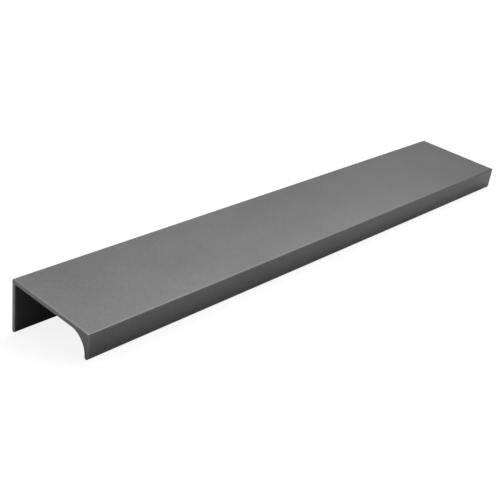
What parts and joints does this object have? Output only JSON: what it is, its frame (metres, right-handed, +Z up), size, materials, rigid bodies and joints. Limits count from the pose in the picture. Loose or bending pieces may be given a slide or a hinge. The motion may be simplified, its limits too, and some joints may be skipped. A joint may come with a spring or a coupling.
{
  "type": "finger pull profile",
  "caption": "Extruded aluminium edge pull for a handleless cabinet front: flat plate, screw flange behind and a short lip with a finger cove in front.",
  "frame": {"origin": "on the floor, under the middle of the profile's bounding box", "axes": "+X along the profile, -Y towards the lip, +Z up from the floor; the profile rests on the tips of its flange and lip, so its plate slopes down to the lip"},
  "size_m": [0.24, 0.0438, 0.0199],
  "materials": {
    "anodised_aluminium": "dark grey satin anodised"
  },
  "bodies": {
    "root": {"finger_pull_profile": "anodised_aluminium"}
  },
  "joints": []
}
